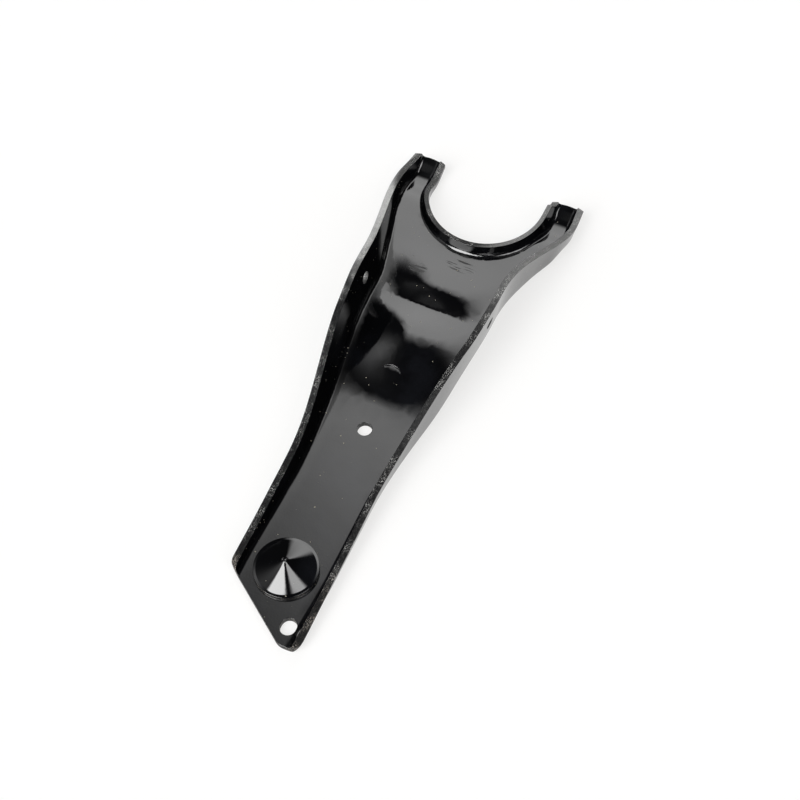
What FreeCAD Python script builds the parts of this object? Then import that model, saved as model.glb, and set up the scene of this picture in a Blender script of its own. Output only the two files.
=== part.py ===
import FreeCAD, Part
import math
import os

# Clutch release fork: one pressing in 3.2 mm sheet steel, in millimetres.
# X runs along the lever from the push rod cup to the fork, Y across it, Z up.
# The web lies level, its flanges, the lip of the fork and the point of the cup stand up from it.
# The origin is on the axis of the push rod cup, at the level of the web's upper face.

# Sheet
SHEET = 3.2
BEND_IN = 2.0

# Stations along the lever, from the axis of the push rod cup
END_X = -35.0
MID_HOLE_X = 82.9
SPOT_X = 113.0
SPOT_Y = 1.5
SEAT_X = 158.0
FLANGE_HOLE_X = 153.4
FORK_X = 229.5
TIP_X = 244.8
TIP_CORNER_X = 242.4
ARMS_END = TIP_X + 1.5

# Half width over the flanges, at their top edge
LEVER_HALF = 24.4
PIVOT_HALF = 37.3
GAP_R = 30.5
ARM_WIDE = 18.9
FORK_HALF = GAP_R + ARM_WIDE
TIP_IN = 1.5
TIP_INNER_Y = GAP_R - 1.0
TIP_CROWN_Y = (FORK_HALF + TIP_INNER_Y) / 2.0
WIDEN_FROM = 45.0
WIDEN_TO = 160.0
SPREAD_FROM = 164.0
SPREAD_TO = 229.0

# Height of the flanges' top edge above the web of the lever
END_RISE = 2.6
CUP_RISE = 5.6
LEVER_RISE = 11.0
SHOULDER_RISE = 28.5
PIVOT_RISE = 30.2
TIP_RISE = 5.3
FALL_FROM = 170.0

# Lean of the flanges, outwards, in degrees
LEVER_LEAN = 9.0
LEAN = 5.0
RIGHT_LEAN = 9.0
FORK_LEAN = 0.5
ARM_LEAN = 9.0
TIP_LEAN = 21.0
END_LEAN = 35.0

# Web along the middle: domed bank, gentle slope to the crease of the pivot seat, steep step to the fork
BANK_TOP = 7.6
BANK_FROM = 97.0
BANK_TO = 138.0
SEAT_DEEP = 2.4
SEAT_TO = 170.0
SEAT_SOFT = 0.4
STEP_TOP = 6.0
STEP_FADES = 192.0
FORK_WEB = 3.8

# Web along the flanges, lower than the bank and higher than the seat
SIDE_FROM = 92.0
SIDE_TO = 142.0

# Fork: lip of the opening, thinner towards its top, and pads
LIP_TOP = 9.7
LIP_R = GAP_R + SHEET
LIP_THIN = 0.16
LIP_ROOT = 0.35
LIP_BEND = 2.7
LIP_RIM = 1.6
LEFT_FALL = 206.0
LEFT_LOW = 236.0
RIGHT_FALL = 235.5
RIGHT_LOW = 243.0
PAD_DEEP = -0.4
PAD_FROM = 214.0
PAD_X = 232.5
PAD_END = 3.4

# Push rod cup
CUP_R = 15.6
CUP_RIM = 2.2
CUP_TOP = 9.6
CUP_NOSE = 1.8
SOCKET_R = 13.4

# Holes
MID_HOLE_D = 7.4
FLANGE_HOLE_D = 6.4
FLANGE_HOLE_Z = 17.0
SPRING_HOLE_X = -25.4
SPRING_HOLE_Y = -14.0
SPRING_HOLE_D = 7.7
SPRING_HOLE_LONG = 8.7

# Coined spot on the bank
SPOT_R = 6.2
SPOT_DEEP = 0.9

# Oblique end of the lever
CUT_X = -9.7
CUT_Y = LEVER_HALF - 1.7
CUT_SLOPE = 0.70
END_CORNER_R = 3.0
SIDE_CORNER_R = 4.0
FLANGE_END_R = 2.5


def ramp(x, a, b):
    """Smooth step from 0 at a to 1 at b."""
    t = min(1.0, max(0.0, (x - a) / (b - a)))
    return t * t * (3.0 - 2.0 * t)


def half_width(x):
    """Half width over the top edges of the flanges."""
    w = LEVER_HALF
    w += (PIVOT_HALF - LEVER_HALF) * ramp(x, WIDEN_FROM, WIDEN_TO)
    w += (FORK_HALF - PIVOT_HALF) * ramp(x, SPREAD_FROM, SPREAD_TO)
    w -= TIP_IN * ramp(x, SPREAD_TO - 2.0, ARMS_END)
    return w


def edge_height(x):
    """Height of the flanges' top edge."""
    h = END_RISE
    h += (CUP_RISE - END_RISE) * ramp(x, END_X, 6.0)
    h += (LEVER_RISE - CUP_RISE) * ramp(x, 0.0, 65.0)
    h += (SHOULDER_RISE - LEVER_RISE) * ramp(x, 54.0, 128.0)
    h += (PIVOT_RISE - SHOULDER_RISE) * ramp(x, 128.0, 150.0)
    h -= (PIVOT_RISE - TIP_RISE) * ramp(x, FALL_FROM, TIP_X)
    return h


def lean(x, side):
    """Outward lean of a flange in radians; the right one, side -1, leans more beside the pivot seat."""
    a = LEVER_LEAN + (LEAN - LEVER_LEAN) * ramp(x, 40.0, 100.0)
    a += (END_LEAN - LEVER_LEAN) * (1.0 - ramp(x, END_X, 2.0))
    a += (FORK_LEAN - LEAN) * ramp(x, 160.0, 185.0)
    a += (ARM_LEAN - FORK_LEAN) * ramp(x, 205.0, 222.0)
    a += (TIP_LEAN - ARM_LEAN) * ramp(x, 222.0, ARMS_END)
    if side < 0:
        more = RIGHT_LEAN - LEAN + (LEAN - FORK_LEAN) * ramp(x, 160.0, 185.0)
        a += more * ramp(x, 100.0, 140.0) * (1.0 - ramp(x, 195.0, 222.0))
    return math.radians(a)


def arms(x):
    """How far the pads sink below the web of the fork."""
    sink = (PAD_DEEP - FORK_WEB) * ramp(x, PAD_FROM, PAD_X)
    return sink + (PAD_END - PAD_DEEP) * ramp(x, PAD_X, ARMS_END)


def web_height(x):
    """Level of the web's upper face along its middle, with the crease of the pivot seat."""
    near = BANK_TOP * ramp(x, BANK_FROM, BANK_TO)
    t = max(0.0, (x - BANK_TO) / (SEAT_X - BANK_TO))
    near -= (BANK_TOP - SEAT_DEEP) * t * t * (2.0 - t)
    if x < SEAT_X - 6.0:
        return near
    t = min(1.0, (x - SEAT_X) / (SEAT_TO - SEAT_X))
    far = SEAT_DEEP + (STEP_TOP - SEAT_DEEP) * t * (1.35 - 0.35 * t ** 3)
    far += (FORK_WEB - STEP_TOP) * ramp(x, SEAT_TO, STEP_FADES)
    if x > SEAT_X + 6.0:
        return far + arms(x)
    return (near + far + math.sqrt((near - far) ** 2 + SEAT_SOFT ** 2)) / 2.0


def side_height(x):
    """Level of the web's upper face along the flanges."""
    return FORK_WEB * ramp(x, SIDE_FROM, SIDE_TO) + arms(x)


def under(x, upper=web_height):
    """Level of the web's lower face: a sheet's thickness away from the upper one."""
    low = upper(x) - SHEET
    for i in range(-20, 21):
        d = SHEET * i / 20.0
        low = min(low, upper(x + d) - math.sqrt(max(0.0, SHEET * SHEET - d * d)))
    return low


def point(x, y, z):
    return FreeCAD.Vector(x, y, z)


def half_section(x, side):
    """Corners of the outline on one side of the lever at x, from the outer top edge round to the inner one."""
    w = half_width(x)
    h = edge_height(x)
    a = lean(x, side)
    z = side_height(x)
    tz = z - under(x, side_height)
    ty = SHEET * math.hypot(1.0, half_width(x + 0.5) - half_width(x - 0.5))
    # inner tangent point of the bend on the flange, then the bend's foot on the web
    bend_z = z + BEND_IN * (1.0 - math.sin(a))
    top_in = w - ty / math.cos(a)
    bend_y = top_in - (h - bend_z) * math.tan(a)
    foot = bend_y - BEND_IN * math.cos(a)
    ry = BEND_IN + ty
    rz = BEND_IN + tz
    m = (math.pi / 2.0 + a) / 2.0
    half = []
    half.append((w, h))
    half.append((foot + ry * math.cos(a), z + BEND_IN - rz * math.sin(a)))
    half.append((foot + ry * math.cos(m), z + BEND_IN - rz * math.sin(m)))
    half.append((foot, z - tz))
    half.append((foot, z))
    half.append((foot + BEND_IN * math.cos(m), z + BEND_IN - BEND_IN * math.sin(m)))
    half.append((bend_y, bend_z))
    half.append((top_in, h))
    return [point(x, side * y, zz) for y, zz in half]


def across(a, b, middle):
    """Line of the web from a to b, level at both ends and reaching another level in the middle."""
    mid = a.z + (middle - a.z) * 1.6
    poles = [a]
    for i in range(1, 5):
        pole = a + (b - a) * (i / 5.0)
        if i in (2, 3):
            pole.z = mid
        poles.append(pole)
    poles.append(b)
    c = Part.BezierCurve()
    c.setPoles(poles)
    return c.toShape()


def section(x):
    """Closed outline of the pressing across the lever at x."""
    p = half_section(x, 1)
    q = half_section(x, -1)
    line = Part.makeLine
    edges = []
    edges.append(line(p[0], p[1]))
    edges.append(arc(p[1], p[2], p[3]))
    edges.append(across(p[3], q[3], under(x)))
    edges.append(arc(q[3], q[2], q[1]))
    edges.append(line(q[1], q[0]))
    edges.append(line(q[0], q[7]))
    edges.append(line(q[7], q[6]))
    edges.append(arc(q[6], q[5], q[4]))
    edges.append(across(q[4], p[4], web_height(x)))
    edges.append(arc(p[4], p[5], p[6]))
    edges.append(line(p[6], p[7]))
    edges.append(line(p[7], p[0]))
    return Part.Wire(edges)


def stations():
    """Stations of the sections: close together at the pivot seat, wider apart elsewhere."""
    xs = []
    x = END_X - 4.0
    while x < ARMS_END:
        xs.append(x)
        off = abs(x - SEAT_X)
        step = 6.0
        if x > BANK_FROM - 6.0:
            step = 4.0
        if off < 12.0:
            step = 2.0
        if off < 3.0:
            step = 0.5
        x += step
    xs.append(ARMS_END)
    return xs


def cylinder(r, x, y, z0, z1):
    """Upright cylinder of radius r at x, y from z0 to z1."""
    return Part.makeCylinder(r, z1 - z0, point(x, y, z0))


def plate(edges, z0, z1):
    """Upright block over a closed plan outline, from z0 to z1."""
    face = Part.Face(Part.Wire(edges))
    face.translate(point(0, 0, z0))
    return face.extrude(point(0, 0, z1 - z0))


def arc(a, b, c):
    return Part.Arc(a, b, c).toShape()


def plan():
    """Plan of the finished part: the oblique end, the long sides and the arms' rounded tips."""
    wide = FORK_HALF + 10.0
    side = -LEVER_HALF + 0.2
    r = SIDE_CORNER_R
    k = r * (1.0 - math.sqrt(0.5))
    far_cut = CUT_X - (CUT_Y - wide) * CUT_SLOPE
    knee_y = CUT_Y - (CUT_X - END_X) / CUT_SLOPE
    c = END_CORNER_R
    along = c / math.hypot(1.0, CUT_SLOPE)
    knee_in = point(END_X + along * CUT_SLOPE, knee_y + along, 0)
    knee_mid = point(END_X + 0.22 * along * CUT_SLOPE, knee_y + 0.02 * along, 0)
    knee_out = point(END_X, knee_y - c, 0)
    edges = []
    edges.append(Part.makeLine(point(far_cut, wide, 0), knee_in))
    edges.append(arc(knee_in, knee_mid, knee_out))
    edges.append(Part.makeLine(knee_out, point(END_X, side + r, 0)))
    edges.append(arc(point(END_X, side + r, 0), point(END_X + k, side + k, 0), point(END_X + r, side, 0)))
    edges.append(Part.makeLine(point(END_X + r, side, 0), point(END_X + 3.0 * r, side - 2.0, 0)))
    edges.append(Part.makeLine(point(END_X + 3.0 * r, side - 2.0, 0), point(END_X + 3.0 * r, -wide, 0)))
    last = point(END_X + 3.0 * r, -wide, 0)
    for sy in (-1, 1):
        outer = point(TIP_CORNER_X, sy * FORK_HALF, 0)
        crown = point(TIP_X, sy * TIP_CROWN_Y, 0)
        inner = point(TIP_CORNER_X, sy * TIP_INNER_Y, 0)
        stop = point(TIP_CORNER_X, sy * wide, 0)
        if sy < 0:
            edges.append(Part.makeLine(last, stop))
            edges.append(Part.makeLine(stop, outer))
            edges.append(arc(outer, crown, inner))
            last = inner
        else:
            edges.append(Part.makeLine(last, inner))
            edges.append(arc(inner, crown, outer))
            edges.append(Part.makeLine(outer, stop))
            last = stop
    edges.append(Part.makeLine(last, point(far_cut, wide, 0)))
    return edges


def outside():
    """All that lies outside the plan."""
    room = 3.0 * FORK_HALF
    long = ARMS_END - END_X + 2.0 * room
    big = Part.makeBox(long, 2.0 * room, 3.0 * PIVOT_RISE - 2.0, point(END_X - room, -room, 1.0 - PIVOT_RISE))
    return big.cut(plate(plan(), -PIVOT_RISE, 2.0 * PIVOT_RISE))


def curve(points):
    c = Part.BSplineCurve()
    c.interpolate(points)
    return c.toShape()


def prism(edges, y0, y1):
    """Block with an outline in the plane of the lever's middle, from y0 to y1."""
    face = Part.Face(Part.Wire(edges))
    face.translate(point(0, y0, 0))
    return face.extrude(point(0, y1 - y0, 0))


def horseshoe(r, z0, z1, thin):
    """Upright horseshoe block, open towards the tips; thin is how much its radius falls per height."""
    r0 = r + (FORK_WEB - z0) * thin
    r1 = r + (FORK_WEB - z1) * thin
    p = [point(FORK_X, 0, z0), point(FORK_X, r0, z0), point(FORK_X, r1, z1), point(FORK_X, 0, z1)]
    face = Part.Face(Part.makePolygon(p + [p[0]]))
    root = face.revolve(point(FORK_X, 0, 0), point(0, 0, 1), 180)
    p = [point(FORK_X, -r0, z0), point(FORK_X, r0, z0), point(FORK_X, r1, z1), point(FORK_X, -r1, z1)]
    face = Part.Face(Part.makePolygon(p + [p[0]]))
    return root.fuse(face.extrude(point(ARMS_END + 10.0 - FORK_X, 0, 0))).removeSplitter()


def lip():
    """Raised horseshoe that the opening is cut from, leaving the lip."""
    first = FORK_X - LIP_R - 2.0
    xs = [first + (ARMS_END - first) * i / 20.0 for i in range(21)]
    low = [point(x, 0, web_height(x) - LIP_ROOT) for x in xs]
    a = point(ARMS_END, 0, LIP_TOP)
    b = point(first, 0, LIP_TOP)
    edges = [curve(low), Part.makeLine(low[-1], a), Part.makeLine(a, b), Part.makeLine(b, low[0])]
    wide = 2.0 * LIP_R
    return horseshoe(LIP_R, -20.0, 30.0, LIP_THIN).common(prism(edges, -wide, wide))


def over_lip(first, last, side):
    """Space over the lip's top edge where it falls along an arm, from first to last, to a low rim."""
    high = LIP_TOP + 0.4
    top = []
    for i in range(13):
        x = first + (ARMS_END - first) * i / 12.0
        top.append(point(x, 0, high + (web_height(x) + LIP_RIM - high) * ramp(x, first, last)))
    a = point(ARMS_END, 0, 2.0 * LIP_TOP)
    b = point(first, 0, 2.0 * LIP_TOP)
    edges = [curve(top), Part.makeLine(top[-1], a), Part.makeLine(a, b), Part.makeLine(b, top[0])]
    return prism(edges, side * GAP_R / 2.0, side * (LIP_R + 1.5 * BEND_IN))


def cup(r_rim, z_rim, z_top, nose, z_foot, bow):
    """Round cone with hollow flanks and a round nose on a low drum; bow is how high its flanks' middle is."""
    half = math.radians(48.0)
    cz = z_top - nose
    tx = nose * math.cos(half)
    tz = cz + nose * math.sin(half)
    p = []
    p.append(point(0, 0, z_foot))
    p.append(point(r_rim, 0, z_foot))
    p.append(point(r_rim, 0, z_rim))
    p.append(point(tx, 0, tz))
    p.append(point(0, 0, z_top))
    mid = point((r_rim + tx) * 0.42, 0, z_rim + (tz - z_rim) * bow)
    edges = []
    edges.append(Part.makeLine(p[0], p[1]))
    edges.append(Part.makeLine(p[1], p[2]))
    edges.append(Part.Arc(p[2], mid, p[3]).toShape())
    m = (math.pi / 2.0 + half) / 2.0
    edges.append(Part.Arc(p[3], point(nose * math.cos(m), 0, cz + nose * math.sin(m)), p[4]).toShape())
    edges.append(Part.makeLine(p[4], p[0]))
    face = Part.Face(Part.Wire(edges))
    return face.revolve(point(0, 0, 0), point(0, 0, 1), 360)


def slot(x, y, d, long, z0, z1):
    """Round ended hole of width d and length long along the lever."""
    h = (long - d) / 2.0
    r = d / 2.0
    edges = []
    edges.append(Part.makeLine(point(x - h, y + r, 0), point(x + h, y + r, 0)))
    edges.append(Part.Arc(point(x + h, y + r, 0), point(x + h + r, y, 0), point(x + h, y - r, 0)).toShape())
    edges.append(Part.makeLine(point(x + h, y - r, 0), point(x - h, y - r, 0)))
    edges.append(Part.Arc(point(x - h, y - r, 0), point(x - h - r, y, 0), point(x - h, y + r, 0)).toShape())
    return plate(edges, z0, z1)


def edges_at(shape, test, longer=0.5):
    """Edges of a shape, longer than a length, whose middle passes a test."""
    out = []
    for e in shape.Edges:
        if e.Length > longer and test(e.valueAt((e.FirstParameter + e.LastParameter) / 2.0)):
            out.append(e)
    return out


def on_ring(r, level):
    """Test for a point on the wall of the opening's horseshoe of radius r, at a level of the web."""
    return lambda c: abs(math.hypot(min(0.0, c.x - FORK_X), c.y) - r) < 0.9 and abs(c.z - level(c.x)) < 0.6


# the web and both flanges
body = Part.makeLoft([section(x) for x in stations()], True, False, False)

# the lip and the opening of the fork, rounded below where the lip is turned up
body = body.fuse(lip())
body = body.cut(horseshoe(GAP_R, -30.0, 50.0, 0.0))
body = body.makeFillet(LIP_BEND, edges_at(body, on_ring(GAP_R, under), 3.0))
body = body.makeFillet(BEND_IN, edges_at(body, on_ring(LIP_R, web_height), 3.0))
body = body.cut(over_lip(LEFT_FALL, LEFT_LOW, 1))
body = body.cut(over_lip(RIGHT_FALL, RIGHT_LOW, -1))

# the outline, then the point and the socket of the push rod cup
body = body.cut(outside())
body = body.fuse(cup(CUP_R, CUP_RIM, CUP_TOP, CUP_NOSE, -SHEET / 2.0, 0.42))
body = body.cut(cup(SOCKET_R, -SHEET + 0.8, CUP_TOP - 1.35 * SHEET, 1.0, -SHEET - 5.0, 0.55))

# the holes and the coined spot
body = body.cut(cylinder(MID_HOLE_D / 2.0, MID_HOLE_X, 0, -20.0, 20.0))
body = body.cut(slot(SPRING_HOLE_X, SPRING_HOLE_Y, SPRING_HOLE_D, SPRING_HOLE_LONG, -20.0, 20.0))
start = point(FLANGE_HOLE_X, -60, FLANGE_HOLE_Z)
body = body.cut(Part.makeCylinder(FLANGE_HOLE_D / 2.0, 120, start, point(0, 1, 0)))
spot_z = web_height(SPOT_X + SPOT_R) - SPOT_DEEP
body = body.cut(cylinder(SPOT_R, SPOT_X, SPOT_Y, spot_z, 20.0))

# the rounded corner where the left flange ends
corner_y = half_width(CUT_X) - SHEET / 2.0
corner_x = CUT_X + (corner_y - CUT_Y) * CUT_SLOPE
corner = point(corner_x, corner_y, edge_height(corner_x))
body = body.makeFillet(FLANGE_END_R, edges_at(body, lambda c: c.distanceToPoint(corner) < 2.0, 2.0))

os.makedirs("parts", exist_ok=True)
body.exportStep("parts/clutch_fork.step")
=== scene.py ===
import bpy
import bmesh
import math
import numpy as np
from mathutils import Matrix, Vector


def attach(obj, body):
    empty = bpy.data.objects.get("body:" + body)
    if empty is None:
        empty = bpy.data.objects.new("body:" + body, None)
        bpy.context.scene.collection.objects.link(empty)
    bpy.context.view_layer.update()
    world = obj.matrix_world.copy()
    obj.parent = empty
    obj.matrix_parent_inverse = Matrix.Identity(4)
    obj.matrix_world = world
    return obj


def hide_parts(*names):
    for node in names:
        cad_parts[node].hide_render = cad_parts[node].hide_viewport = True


# A pressed steel clutch fork in gloss black paint, lying on a white floor.
# Metres, in the frame of the solid: X along the lever to the fork, Y to the left, Z up.

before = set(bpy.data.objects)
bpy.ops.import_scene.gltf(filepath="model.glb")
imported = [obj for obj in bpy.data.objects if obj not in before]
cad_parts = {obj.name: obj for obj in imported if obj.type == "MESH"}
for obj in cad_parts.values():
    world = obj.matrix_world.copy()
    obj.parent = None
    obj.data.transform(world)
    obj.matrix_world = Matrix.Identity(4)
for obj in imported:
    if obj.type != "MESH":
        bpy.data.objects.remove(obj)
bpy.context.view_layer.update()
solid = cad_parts["clutch_fork"]

# Camera of the photograph: width of the picture and focal length in pixels, sensor in millimetres,
# the camera's place, its line of sight, the direction of the picture's right and how near and far it sees
PICTURE = 800.0
FOCAL_PIXELS = 1854.4
SENSOR = 36.0
CAMERA_AT = Vector((-0.30678, -0.23973, 0.77530))
LOOKS_ALONG = Vector((0.45340, 0.25461, -0.85417))
PICTURE_RIGHT = Vector((0.42909, -0.90232, -0.04119))
NEAREST, FARTHEST = 0.01, 50.0

# The fork rests on the undersides of its pads and on the end of its lever, and the floor goes far past it
PAD_X, PAD_Z = 0.2325, -0.0036
END_X, END_Z = -0.035, -0.0032
FLOOR_REACH = 4.0

# The sheet, how wide a sheared edge can be against its thickness, the angle of a sharp edge,
# and the distances under which corners are one corner and a triangle has no area
SHEET = 0.0032
SHEARED_WIDTH = 1.25
SHARP_ANGLE = math.radians(34.0)
SAME_CORNER = 1e-6
NO_AREA = 1e-7

# The pressed cone over the push rod's hollow: its radius and the soft width of its rim, the radii
# of its nose, the height its flanks start at, their slope, how far their shading is evened, and a
# radius so small that it stands in for none
CONE_RADIUS = 0.0146
CONE_RIM = 0.0006
NOSE_INNER, NOSE_OUTER = 0.001, 0.003
CONE_FOOT = 0.0012
CONE_SLOPE = math.radians(26.0)
CONE_SHARE = 0.85
NO_RADIUS = 1e-4

# Gloss paint: how it bends light, its colour where it is clean and where it is hazy, the colour of dust
# on it, the share of places without a speck, its roughness, what dust and rubbing add to that, and
# the rounding of sharp bends under it
GLOSS_IOR = 2.0
CLEAN_BLACK = (0.0016, 0.0017, 0.0022, 1.0)
HAZY_BLACK = (0.0060, 0.0065, 0.0085, 1.0)
DUST_COLOUR = (0.21, 0.19, 0.14, 1.0)
DUST_LEFT_OUT = 0.45
GLOSSIEST, DULLEST = 0.045, 0.085
DUST_ROUGHENS = 0.4
RUBBING_ROUGHENS = 0.5
BEND_EDGE = 0.00035

# Rubbed places on the web: middle, reach along each axis, and how full of scratches they are
RUBBED = [
    ((0.187, -0.004, 0.004), (0.0050, 0.0095, 0.006), 0.04),
    ((0.177, 0.0155, 0.005), (0.0040, 0.0060, 0.006), 0.10),
]

# Sheared edges: how they bend and mirror light, the paint of the lever, the pale colour painted on the
# fork's edges as a painted sheen for the light they catch, bare steel at the lever's end and in front of
# it, the X between which it changes, how metallic a speck of it is, and the rounding of the corners
EDGE_IOR = 1.5
EDGE_SHINE = 0.25
EDGE_BLACK = (0.004, 0.004, 0.0045, 1.0)
EDGE_PAINTED_SHEEN = (0.80, 0.80, 0.79, 1.0)
END_STEEL = (0.85, 0.76, 0.66, 1.0)
STEEL = (0.95, 0.94, 0.91, 1.0)
END_STEEL_TO, STEEL_FROM = -0.012, 0.012
STEEL_METALLIC = 0.6
EDGE_CORNER = 0.0004

# Where the sheared edges get the painted sheen for the light they catch: forward along the lever, and more
# on its left than on its right
SHEEN_FROM_X, SHEEN_TO_X = 0.15, 0.225
SHEEN_FROM_Y, SHEEN_TO_Y = 0.010, 0.032
SHEEN_ON_RIGHT = 0.28

# The lip of the bearing opening stays dark, with almost none of the painted sheen: a middle for it, the
# distances over which that ends, and the share of the painted sheen on it
LIP_MIDDLE = (0.2295, 0.012, 0.006)
LIP_NO_SHEEN_TO, LIP_SHEEN_FROM = 0.036, 0.041
SHEEN_ON_LIP = 0.08

# Rays that the rounding of bends and corners takes
BEVEL_SAMPLES = 6

# White paper of the floor: its colour, the colour and brightness of the white that is seen over its
# shadows, and the share of that white
PAPER = (0.86, 0.86, 0.86, 1.0)
PAPER_WHITE = (1.0, 0.995, 0.985, 1.0)
PAPER_BRIGHT = 1.08
PAPER_SHARE = 0.66

# Light round the fork. Azimuth is from +X towards +Y and elevation from the floor, in degrees.
# Glows fade from their middle outwards: azimuth, elevation, spread, brightness
GLOWS = [
    (84.0, 55.0, 7.0, 0.75),
    (130.0, 30.0, 14.0, 0.7),
    (120.0, 72.0, 2.5, 0.12),
]
# Panels are even, with soft edges: azimuth, elevation, half width, half height,
# softness of the side edges, softness of the top and bottom edges, brightness
PANELS = [
    (12.0, 38.0, 14.5, 26.0, 8.5, 22.0, 2.0),
    (160.0, 42.0, 15.0, 28.0, 5.0, 8.0, 7.6),
    (-110.0, 45.0, 13.0, 25.0, 8.0, 8.0, 3.6),
]
# Brightness of the room between them, and of the white past the floor
ROOM = 0.015
WHITE = 1.6


# Node helpers

def put(tree, socket, value):
    """Joins an output to this socket, or sets the socket to a constant."""
    if isinstance(value, bpy.types.NodeSocket):
        tree.links.new(value, socket)
    else:
        socket.default_value = value


def node(tree, kind, **values):
    """A node with its properties and its named sockets set, in the order they are given."""
    made = tree.nodes.new(kind)
    for name, value in values.items():
        if name in made.inputs:
            put(tree, made.inputs[name], value)
        else:
            setattr(made, name, value)
    return made


def calculate(tree, operation, *values):
    """Output of a Math node on outputs or numbers."""
    made = node(tree, "ShaderNodeMath", operation=operation)
    for place, value in enumerate(values):
        put(tree, made.inputs[place], value)
    return made.outputs["Value"]


def plus(tree, a, b):
    return calculate(tree, "ADD", a, b)


def times(tree, product, *values):
    """Product of outputs and numbers, taken from left to right."""
    for value in values:
        product = calculate(tree, "MULTIPLY", product, value)
    return product


def vector(tree, operation, *values):
    """Outputs of a Vector Math node on outputs or plain vectors."""
    made = node(tree, "ShaderNodeVectorMath", operation=operation)
    for place, value in enumerate(values):
        put(tree, made.inputs[place], value)
    return made.outputs


def smooth_step(tree, value, low, high, to_low=0.0, to_high=1.0):
    """Smooth step from to_low, where the value is low, to to_high, where it is high."""
    made = node(tree, "ShaderNodeMapRange", interpolation_type="SMOOTHSTEP", Value=value)
    made.inputs["From Min"].default_value = low
    made.inputs["From Max"].default_value = high
    made.inputs["To Min"].default_value = to_low
    made.inputs["To Max"].default_value = to_high
    return made.outputs["Result"]


def mix(tree, kind, share, a, b):
    """Mix of two colours or two vectors: a where the share is 0, b where it is 1."""
    return node(tree, "ShaderNodeMix", data_type=kind, Factor=share, A=a, B=b).outputs["Result"]


def noise(tree, where, scale, detail=2.0, roughness=0.5):
    """Noise from 0 to 1, with the scale in waves per metre."""
    made = node(tree, "ShaderNodeTexNoise", Vector=where, Scale=scale, Detail=detail, Roughness=roughness)
    return made.outputs["Fac"]


def new_group(name, inputs, outputs):
    """An empty node group, with the sockets it is given and the sockets it fills."""
    tree = bpy.data.node_groups.new(name, "ShaderNodeTree")
    for label, kind, value in inputs:
        made = tree.interface.new_socket(label, in_out="INPUT", socket_type=kind)
        if value is not None:
            made.default_value = value
    for label, kind in outputs:
        tree.interface.new_socket(label, in_out="OUTPUT", socket_type=kind)
    return tree, tree.nodes.new("NodeGroupInput").outputs, tree.nodes.new("NodeGroupOutput").inputs


def use_group(tree, group, output, **values):
    """One output of a group placed in a material with its own values."""
    return node(tree, "ShaderNodeGroup", node_tree=group, **values).outputs[output]


# Effects

def orange_peel_group():
    """Height of sprayed paint = 0.7 * a slow wave + 0.3 * the fine skin of the spray."""
    tree, given, out = new_group(
        "orange_peel",
        [
            ("Vector", "NodeSocketVector", None),
            ("Wave", "NodeSocketFloat", 90.0),
            ("Skin", "NodeSocketFloat", 900.0),
        ],
        [("Height", "NodeSocketFloat")],
    )
    slow = noise(tree, given["Vector"], given["Wave"], 1.0)
    fine = noise(tree, given["Vector"], given["Skin"], 2.0)
    put(tree, out["Height"], plus(tree, times(tree, slow, 0.7), times(tree, fine, 0.3)))
    return tree


def dust_group():
    """Sparse specks of dust: space is split into cells, some of them are left out, and a speck is
    where the surface passes nearer to a cell's point than Size * a random share from 0 to 1."""
    tree, given, out = new_group(
        "dust",
        [
            ("Vector", "NodeSocketVector", None),
            ("Cells", "NodeSocketFloat", 260.0),
            ("Size", "NodeSocketFloat", 0.2),
        ],
        [("Mask", "NodeSocketFloat")],
    )
    cells = node(tree, "ShaderNodeTexVoronoi", Vector=given["Vector"], Scale=given["Cells"]).outputs
    chance = node(tree, "ShaderNodeSeparateColor", Color=cells["Color"]).outputs
    kept = calculate(tree, "GREATER_THAN", chance["Red"], DUST_LEFT_OUT)
    size = times(tree, chance["Green"], given["Size"])
    near = calculate(tree, "LESS_THAN", cells["Distance"], size)
    put(tree, out["Mask"], times(tree, kept, near))
    return tree


def rub_marks_group():
    """Short fine scratches across the lever, inside a soft ellipsoid round a place.
    Inside = 1 where the length of (point - Place) / Reach is under 0.6, falling to 0 at 1.
    Scratch = noise that is drawn out across the lever, cut off at a level that Grain lowers."""
    tree, given, out = new_group(
        "rub_marks",
        [
            ("Vector", "NodeSocketVector", None),
            ("Place", "NodeSocketVector", (0.0, 0.0, 0.0)),
            ("Reach", "NodeSocketVector", (1.0, 1.0, 1.0)),
            ("Grain", "NodeSocketFloat", 1.0),
        ],
        [("Mask", "NodeSocketFloat")],
    )
    offset = vector(tree, "SUBTRACT", given["Vector"], given["Place"])["Vector"]
    scaled = vector(tree, "DIVIDE", offset, given["Reach"])["Vector"]
    far = vector(tree, "LENGTH", scaled)["Value"]
    inside = smooth_step(tree, far, 0.6, 1.0, 1.0, 0.0)
    drawn_out = vector(tree, "MULTIPLY", given["Vector"], (1.0, 0.07, 0.2))["Vector"]
    lines = noise(tree, drawn_out, 1300.0, 1.0)
    scratch = smooth_step(tree, plus(tree, lines, given["Grain"]), 0.58, 0.66)
    put(tree, out["Mask"], times(tree, inside, scratch))
    return tree


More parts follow.
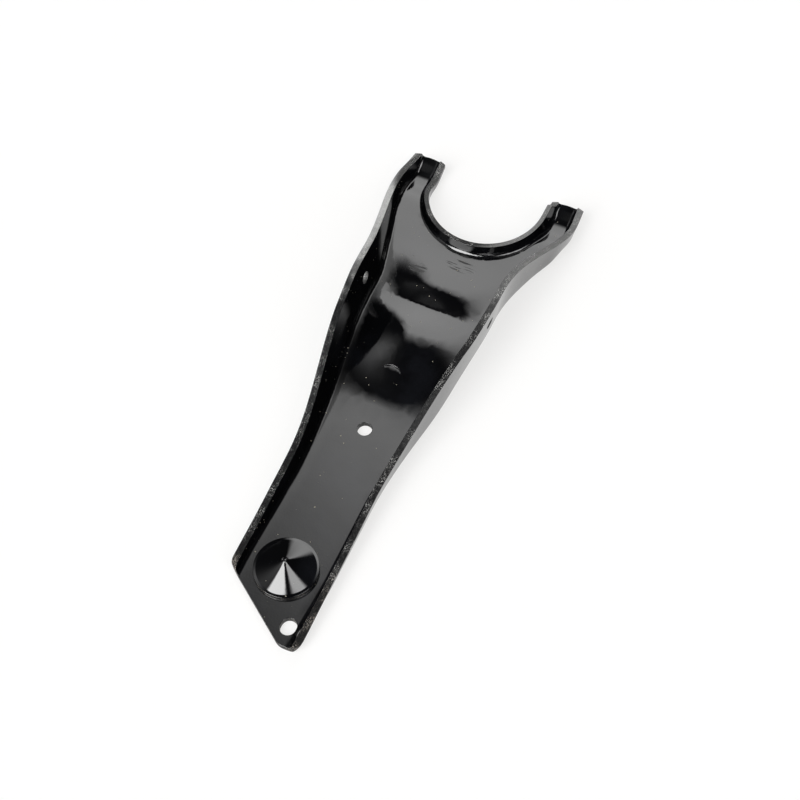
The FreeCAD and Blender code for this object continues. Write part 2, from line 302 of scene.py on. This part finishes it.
def straight_cone_group():
    """Normal of the cone round Z as if its flanks were straight, between its rim and its nose.
    Straight flank: normal = (x sin a / r, y sin a / r, cos a) at the radius r, with a the flank's slope."""
    tree, given, out = new_group(
        "straight_cone",
        [("Vector", "NodeSocketVector", None), ("Normal", "NodeSocketVector", None)],
        [("Normal", "NodeSocketVector")],
    )
    place = node(tree, "ShaderNodeSeparateXYZ", Vector=given["Vector"]).outputs
    x, y, z = place["X"], place["Y"], place["Z"]
    radius = calculate(tree, "SQRT", plus(tree, times(tree, x, x), times(tree, y, y)))
    lean = calculate(tree, "DIVIDE", math.sin(CONE_SLOPE), calculate(tree, "MAXIMUM", radius, NO_RADIUS))
    flank = node(
        tree, "ShaderNodeCombineXYZ", X=times(tree, x, lean), Y=times(tree, y, lean), Z=math.cos(CONE_SLOPE)
    )
    turned = node(
        tree, "ShaderNodeVectorTransform", vector_type="NORMAL", convert_from="OBJECT", convert_to="WORLD",
        Vector=flank.outputs["Vector"],
    )
    past_nose = smooth_step(tree, radius, NOSE_INNER, NOSE_OUTER)
    inside_rim = smooth_step(tree, radius, CONE_RADIUS - CONE_RIM, CONE_RADIUS, 1.0, 0.0)
    above = calculate(tree, "GREATER_THAN", z, CONE_FOOT)
    share = times(tree, past_nose, inside_rim, above, CONE_SHARE)
    mixed = mix(tree, "VECTOR", share, given["Normal"], turned.outputs["Vector"])
    put(tree, out["Normal"], vector(tree, "NORMALIZE", mixed)["Vector"])
    return tree


STRAIGHT_CONE = straight_cone_group()
ORANGE_PEEL = orange_peel_group()
DUST = dust_group()
RUB_MARKS = rub_marks_group()


# Finishes

def new_material(name, ior):
    """A material, its nodes, the object's own coordinates and the inputs of its shader."""
    made = bpy.data.materials.new(name)
    made.use_nodes = True
    tree = made.node_tree
    tree.nodes.clear()
    where = tree.nodes.new("ShaderNodeTexCoord").outputs["Object"]
    shader = node(tree, "ShaderNodeBsdfPrincipled", IOR=ior)
    node(tree, "ShaderNodeOutputMaterial", Surface=shader.outputs["BSDF"])
    return made, tree, where, shader.inputs


def gloss_black(name):
    """Sprayed gloss black on the faces of the sheet, with dust and a little uneven gloss."""
    made, tree, where, shader = new_material(name, GLOSS_IOR)

    haze = smooth_step(tree, noise(tree, where, 28.0, 4.0, 0.6), 0.45, 0.72)
    black = mix(tree, "RGBA", haze, CLEAN_BLACK, HAZY_BLACK)
    dust = use_group(tree, DUST, "Mask", Vector=where, Cells=330.0, Size=0.13)
    put(tree, shader["Base Color"], mix(tree, "RGBA", dust, black, DUST_COLOUR))

    uneven = smooth_step(tree, noise(tree, where, 45.0, 3.0), 0.35, 0.7, GLOSSIEST, DULLEST)
    rough = plus(tree, uneven, times(tree, dust, DUST_ROUGHENS))
    for place, reach, grain in RUBBED:
        marks = use_group(tree, RUB_MARKS, "Mask", Vector=where, Place=place, Reach=reach, Grain=grain)
        rough = plus(tree, rough, times(tree, marks, RUBBING_ROUGHENS))
    put(tree, shader["Roughness"], rough)

    bends = node(tree, "ShaderNodeBevel", samples=BEVEL_SAMPLES, Radius=BEND_EDGE).outputs["Normal"]
    cone = use_group(tree, STRAIGHT_CONE, "Normal", Vector=where, Normal=bends)
    peel = use_group(tree, ORANGE_PEEL, "Height", Vector=where, Wave=110.0, Skin=1100.0)
    bump = node(tree, "ShaderNodeBump", Strength=0.10, Distance=0.0002, Height=peel, Normal=cone)
    put(tree, shader["Normal"], bump.outputs["Normal"])
    return made


def sheared_black(name):
    """Thin paint over a sheared edge: torn and grainy, with a pale painted sheen along the fork, and specks
    of bare steel.
    """
    made, tree, where, shader = new_material(name, EDGE_IOR)
    place = node(tree, "ShaderNodeSeparateXYZ", Vector=where).outputs
    grain = noise(tree, where, 2600.0, 3.0, 0.7)
    patch = noise(tree, where, 120.0, 2.0)

    # Painted sheen share = forward * left * grain * outside the lip, with ragged borders
    ragged_x = plus(tree, place["X"], times(tree, patch, 0.05))
    ragged_y = plus(tree, place["Y"], times(tree, patch, 0.01))
    forward = smooth_step(tree, ragged_x, SHEEN_FROM_X, SHEEN_TO_X)
    left = smooth_step(tree, ragged_y, SHEEN_FROM_Y, SHEEN_TO_Y, SHEEN_ON_RIGHT, 1.0)
    mottle = smooth_step(tree, grain, 0.42, 0.62, 0.6, 1.0)
    from_lip = vector(tree, "DISTANCE", where, LIP_MIDDLE)["Value"]
    outside_lip = smooth_step(tree, from_lip, LIP_NO_SHEEN_TO, LIP_SHEEN_FROM, SHEEN_ON_LIP, 1.0)
    # Black paint, turned pale where the painted sheen lies
    paint = mix(tree, "RGBA", times(tree, forward, left, mottle, outside_lip), EDGE_BLACK, EDGE_PAINTED_SHEEN)

    # Specks of steel come in patches
    speck = smooth_step(tree, grain, 0.57, 0.64)
    chips = times(tree, speck, smooth_step(tree, patch, 0.44, 0.62, 0.10, 1.0))
    bare = mix(tree, "RGBA", smooth_step(tree, place["X"], END_STEEL_TO, STEEL_FROM), END_STEEL, STEEL)
    put(tree, shader["Base Color"], mix(tree, "RGBA", chips, paint, bare))
    put(tree, shader["Metallic"], times(tree, chips, STEEL_METALLIC))
    put(tree, shader["Roughness"], smooth_step(tree, patch, 0.3, 0.7, 0.34, 0.5))
    put(tree, shader["Specular IOR Level"], EDGE_SHINE)

    corners = node(tree, "ShaderNodeBevel", samples=BEVEL_SAMPLES, Radius=EDGE_CORNER).outputs["Normal"]
    bump = node(tree, "ShaderNodeBump", Strength=0.35, Distance=0.0003, Height=grain, Normal=corners)
    put(tree, shader["Normal"], bump.outputs["Normal"])
    return made


def floor_paper(name):
    """White paper; the camera and the paint see it a little whiter than its shadows leave it."""
    made = bpy.data.materials.new(name)
    made.use_nodes = True
    tree = made.node_tree
    paper = tree.nodes["Principled BSDF"]
    paper.inputs["Base Color"].default_value = PAPER
    paper.inputs["Roughness"].default_value = 0.9
    paper.inputs["Specular IOR Level"].default_value = 0.0
    white = node(tree, "ShaderNodeEmission", Color=PAPER_WHITE, Strength=PAPER_BRIGHT)
    path = tree.nodes.new("ShaderNodeLightPath").outputs
    seen = calculate(tree, "MAXIMUM", path["Is Camera Ray"], path["Is Glossy Ray"])
    mixed = node(tree, "ShaderNodeMixShader", Fac=times(tree, seen, PAPER_SHARE))
    put(tree, mixed.inputs[1], paper.outputs["BSDF"])
    put(tree, mixed.inputs[2], white.outputs["Emission"])
    put(tree, tree.nodes["Material Output"].inputs["Surface"], mixed.outputs["Shader"])
    return made


# The fork

def add_object(name, data):
    made = bpy.data.objects.new(name, data)
    bpy.context.scene.collection.objects.link(made)
    return made


def welded_copy(source, name):
    """The solid's mesh with its loose triangles joined, smooth but for its real edges."""
    mesh = source.data.copy()
    mesh.name = name
    work = bmesh.new()
    work.from_mesh(mesh)
    bmesh.ops.remove_doubles(work, verts=work.verts, dist=SAME_CORNER)
    bmesh.ops.dissolve_degenerate(work, dist=NO_AREA, edges=work.edges)
    work.to_mesh(mesh)
    work.free()
    if mesh.has_custom_normals:
        mesh.attributes.remove(mesh.attributes["custom_normal"])
    mesh.shade_smooth()
    mesh.set_sharp_from_angle(angle=SHARP_ANGLE)
    return add_object(name, mesh)


def stretch_from(start, seen):
    """The faces reached from one face without crossing a sharp edge, and their mean width.
    Mean width = 2 * area / length of the border."""
    seen[start.index] = True
    stretch = [start]
    area = 0.0
    border = 0.0
    for face in stretch:
        area += face.calc_area()
        for edge in face.edges:
            if not edge.smooth or len(edge.link_faces) != 2:
                border += edge.calc_length()
                continue
            for other in edge.link_faces:
                if not seen[other.index]:
                    seen[other.index] = True
                    stretch.append(other)
    return stretch, 2.0 * area / max(border, 1e-9)


def mark_sheared(mesh, slot):
    """Gives a material slot to each stretch between sharp edges that is as narrow as the sheet is thick."""
    work = bmesh.new()
    work.from_mesh(mesh)
    work.faces.ensure_lookup_table()
    seen = np.zeros(len(work.faces), bool)
    for start in work.faces:
        if seen[start.index]:
            continue
        stretch, width = stretch_from(start, seen)
        if width < SHEARED_WIDTH * SHEET:
            for face in stretch:
                face.material_index = slot
    work.to_mesh(mesh)
    work.free()


fork = welded_copy(solid, "fork_body")
fork.data.materials.clear()
fork.data.materials.append(gloss_black("gloss_black_paint"))
fork.data.materials.append(sheared_black("sheared_edge_paint_and_sheen"))
mark_sheared(fork.data, 1)
even = fork.modifiers.new("even_normals", "WEIGHTED_NORMAL")
even.keep_sharp = True
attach(fork, "root")
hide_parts("clutch_fork")


# Floor, light and camera

def white_floor():
    """Wide square in the plane that touches the pads and the lever's end."""
    slope = (END_Z - PAD_Z) / (PAD_X - END_X)
    far = FLOOR_REACH
    corners = []
    for x, y in ((-far, -far), (far, -far), (far, far), (-far, far)):
        corners.append((x, y, PAD_Z + (PAD_X - x) * slope))
    mesh = bpy.data.meshes.new("floor")
    mesh.from_pydata(corners, [], [(0, 1, 2, 3)])
    mesh.materials.append(floor_paper("floor_paper"))
    add_object("floor", mesh)


def towards(azimuth, elevation):
    """Unit vectors ahead, to the side and above, for a direction given in degrees."""
    a, e = math.radians(azimuth), math.radians(elevation)
    ahead = (math.cos(a) * math.cos(e), math.sin(a) * math.cos(e), math.sin(e))
    side = (-math.sin(a), math.cos(a), 0.0)
    above = (-math.cos(a) * math.sin(e), -math.sin(a) * math.sin(e), math.cos(e))
    return ahead, side, above


def glow_light(tree, facing, azimuth, elevation, spread, bright):
    """Glow = brightness * exp((cos(angle from its middle) - 1) / spread^2)."""
    sharp = 1.0 / math.radians(spread) ** 2
    near = vector(tree, "DOT_PRODUCT", facing, towards(azimuth, elevation)[0])["Value"]
    power = calculate(tree, "SUBTRACT", times(tree, near, sharp), sharp)
    return times(tree, calculate(tree, "EXPONENT", power), bright)


def panel_light(tree, facing, azimuth, elevation, wide, high, soft_sides, soft_ends, bright):
    """Panel = brightness * a smooth box in the angles to the side of its middle and above it."""
    ahead, side, above = (
        vector(tree, "DOT_PRODUCT", facing, axis)["Value"] for axis in towards(azimuth, elevation)
    )
    lit = bright
    for across, reach, soft in ((side, wide, soft_sides), (above, high, soft_ends)):
        turned = calculate(tree, "ABSOLUTE", calculate(tree, "ARCTAN2", across, ahead))
        inner, outer = math.radians(reach - soft / 2), math.radians(reach + soft / 2)
        lit = times(tree, smooth_step(tree, turned, inner, outer, 1.0, 0.0), lit)
    return lit


def studio_light():
    """World light: a dim room with glows and panels, and white where the camera looks past the floor."""
    world = bpy.data.worlds.new("studio")
    bpy.context.scene.world = world
    world.use_nodes = True
    tree = world.node_tree
    tree.nodes.clear()
    facing = tree.nodes.new("ShaderNodeTexCoord").outputs["Generated"]
    total = ROOM
    for glow in GLOWS:
        total = plus(tree, glow_light(tree, facing, *glow), total)
    for panel in PANELS:
        total = plus(tree, total, panel_light(tree, facing, *panel))
    path = tree.nodes.new("ShaderNodeLightPath").outputs
    seen = times(tree, calculate(tree, "SUBTRACT", WHITE, total), path["Is Camera Ray"])
    background = node(tree, "ShaderNodeBackground", Strength=plus(tree, total, seen))
    node(tree, "ShaderNodeOutputWorld", Surface=background.outputs["Background"])


def photograph_camera():
    """Camera from its place, its line of sight and the direction of the picture's right."""
    data = bpy.data.cameras.new("camera")
    data.sensor_width = SENSOR
    data.lens = FOCAL_PIXELS * SENSOR / PICTURE
    data.clip_start = NEAREST
    data.clip_end = FARTHEST
    made = add_object("camera", data)
    back = -LOOKS_ALONG.normalized()
    right = (PICTURE_RIGHT - back * PICTURE_RIGHT.dot(back)).normalized()
    up = back.cross(right)
    turn = Matrix((right, up, back)).transposed()
    made.matrix_world = Matrix.Translation(CAMERA_AT) @ turn.to_4x4()
    bpy.context.scene.camera = made


white_floor()
studio_light()
photograph_camera()
bpy.context.scene.view_settings.view_transform = "Standard"
